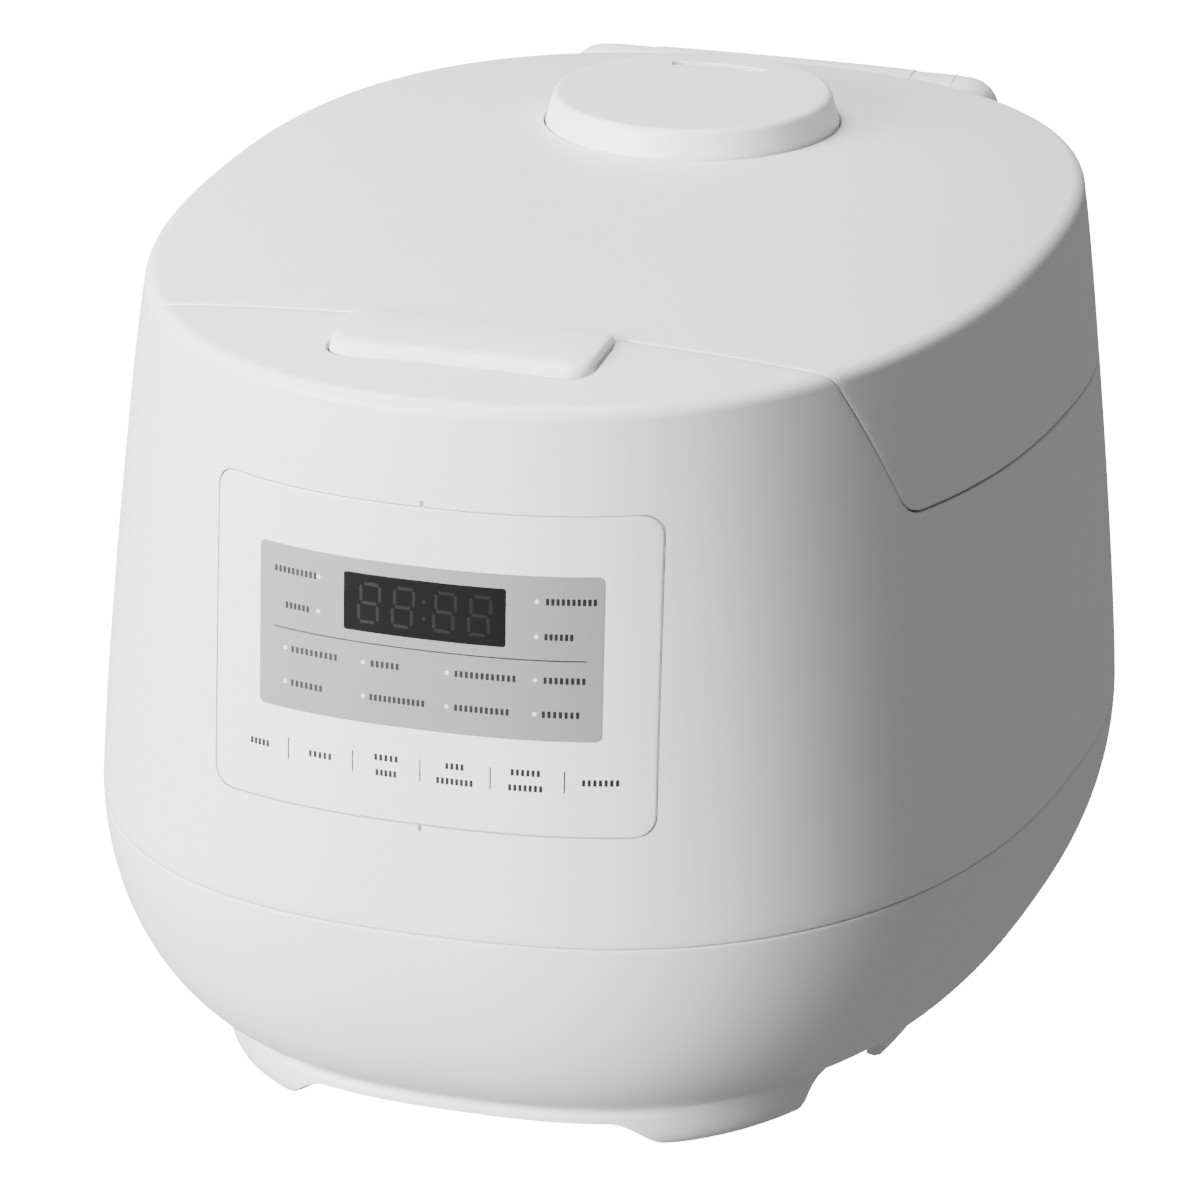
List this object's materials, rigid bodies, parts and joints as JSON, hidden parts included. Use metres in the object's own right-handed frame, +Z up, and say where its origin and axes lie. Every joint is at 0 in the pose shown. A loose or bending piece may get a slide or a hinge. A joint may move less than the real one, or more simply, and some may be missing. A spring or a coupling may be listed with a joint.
{
  "type": "rice cooker",
  "caption": "Electric rice cooker: bowl-shaped casing with a rear-hinged lid, push bar latch, lift-off steam cap, front control panel, cooking pot and heater",
  "frame": {"origin": "middle of the floor area under the object", "axes": "+Z up, front panel faces -Y, +X to the right as seen from the front"},
  "size_m": [0.254, 0.3152, 0.2268],
  "materials": {
    "shell_base": "moulded, fine satin grain",
    "shell_white": "moulded, fine satin grain",
    "bar_white": "moulded, smooth satin",
    "cap_white": "moulded, satin",
    "panel_print": "printed film, satin",
    "display_smoke": "smoked lens, gloss",
    "frame_grey": "moulded, smooth",
    "lid_liner": "moulded, smooth",
    "cap_inner": "moulded, smooth",
    "bottom_grey": "moulded, grained",
    "foot_rubber": "moulded, matt grey",
    "screw_steel": "zinc plated",
    "chamber_aluminium": "drawn, satin",
    "heater_cast": "cast and faced",
    "terminal_brass": "stamped",
    "fuse_sleeve": "braided glass sleeve",
    "spring_steel": "bright wire",
    "pot_coating": "dark non-stick coating",
    "sensor_steel": "drawn",
    "module_black": "moulded, matt",
    "board_green": "circuit board",
    "led_white": "clear resin",
    "carrier_grey": "moulded",
    "board_tan": "circuit board",
    "transformer_core": "laminated core, tape",
    "relay_blue": "moulded",
    "pin_steel": "ground",
    "inner_lid_aluminium": "anodised",
    "seal_silicone": "translucent grey"
  },
  "bodies": {
    "root": {"base_shell": "shell_base", "rubber_feet": "foot_rubber", "bottom_plate": "bottom_grey", "base_screws": "screw_steel", "body_shell": "shell_white", "upper_frame": "frame_grey", "frame_screws": "screw_steel", "heating_chamber": "chamber_aluminium", "heater_plate": "heater_cast", "heater_terminals": "terminal_brass", "side_heater": "chamber_aluminium", "thermal_fuse": "fuse_sleeve", "sensor_cup": "chamber_aluminium", "sensor_spring": "spring_steel", "inner_pot": "pot_coating", "control_panel": "panel_print", "display_window": "display_smoke", "display_module": "module_black", "control_board": "board_green", "key_switches": "module_black", "indicator_leds": "led_white", "board_carrier": "carrier_grey", "power_board": "board_tan", "transformer": "transformer_core", "relays": "relay_blue", "power_inlet": "module_black", "inlet_pins": "pin_steel", "hinge_housing": "shell_white", "hinge_pin": "pin_steel", "hinge_spring": "spring_steel", "button_well": "frame_grey", "button_spring": "spring_steel"},
    "lid": {"lid_cover": "shell_white", "steam_well": "lid_liner", "lid_frame": "lid_liner", "lid_heater": "chamber_aluminium", "inner_lid": "inner_lid_aluminium", "inner_lid_knob": "seal_silicone", "lid_gasket": "seal_silicone", "steam_duct": "lid_liner", "hinge_arms": "pin_steel", "hinge_knuckles": "shell_white", "lid_catch": "pin_steel", "lid_screws": "screw_steel", "lid_sensor": "sensor_steel"},
    "release_bar": {"release_bar": "bar_white"},
    "latch_slide": {"latch_slide": "carrier_grey", "latch_spring": "spring_steel"},
    "steam_cap": {"steam_cap": "cap_white", "cap_base": "cap_inner", "cap_seal": "seal_silicone"},
    "pot_sensor": {"pot_sensor": "sensor_steel"}
  },
  "joints": [
    {"name": "lid_hinge", "type": "hinge", "parent": "root", "child": "lid", "pos_m": [0, 0.1481, 0.203], "axis": [-1, 0, 0], "range_deg": [0, 92]},
    {"name": "bar_press", "type": "slide", "parent": "root", "child": "release_bar", "axis": [0, 0, -1], "range_m": [0, 0.003], "stiffness_N_per_m": 900, "deforming": ["button_spring"]},
    {"name": "latch_move", "type": "slide", "parent": "root", "child": "latch_slide", "axis": [0, -1, 0], "range_m": [0, 0.003]},
    {"name": "cap_lift", "type": "slide", "parent": "lid", "child": "steam_cap", "axis": [0, 0, 1], "range_m": [0, 0.04]},
    {"name": "sensor_plunge", "type": "slide", "parent": "root", "child": "pot_sensor", "axis": [0, 0, -1], "range_m": [0, 0.002], "stiffness_N_per_m": 700, "deforming": ["sensor_spring"]}
  ],
  "couplings": [
    {"joint": "latch_move", "follows": "bar_press", "ratio": 1}
  ]
}
